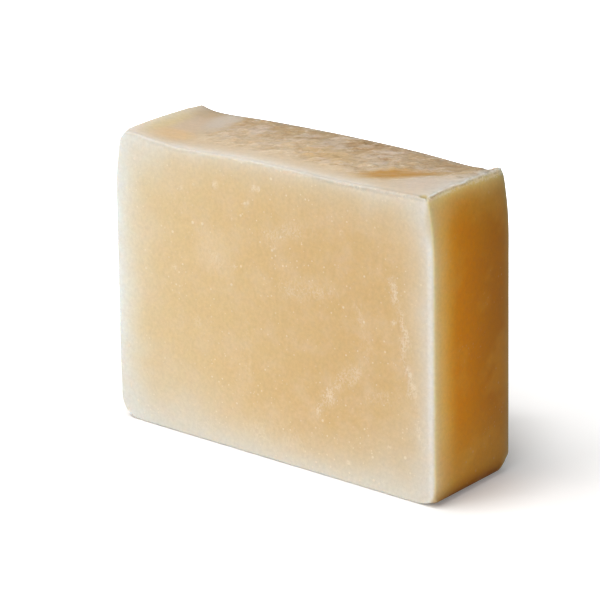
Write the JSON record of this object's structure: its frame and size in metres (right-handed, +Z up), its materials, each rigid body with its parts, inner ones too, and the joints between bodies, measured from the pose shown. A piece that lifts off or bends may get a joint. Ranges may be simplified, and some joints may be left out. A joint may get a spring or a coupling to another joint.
{
  "type": "shampoo bar",
  "caption": "Solid hand-cut shampoo bar: an upright slice of a poured loaf with a wavy, rimmed top and flat cut faces.",
  "frame": {"origin": "middle of the base on which the bar stands", "axes": "+Z up, from the base to the poured top; +X along the bar, towards the leaning end; +Y through its thickness, so the front cut face is at -Y"},
  "size_m": [0.0806, 0.025, 0.0628],
  "materials": {
    "soap": "matte"
  },
  "bodies": {
    "root": {"soap_bar": "soap"}
  },
  "joints": []
}
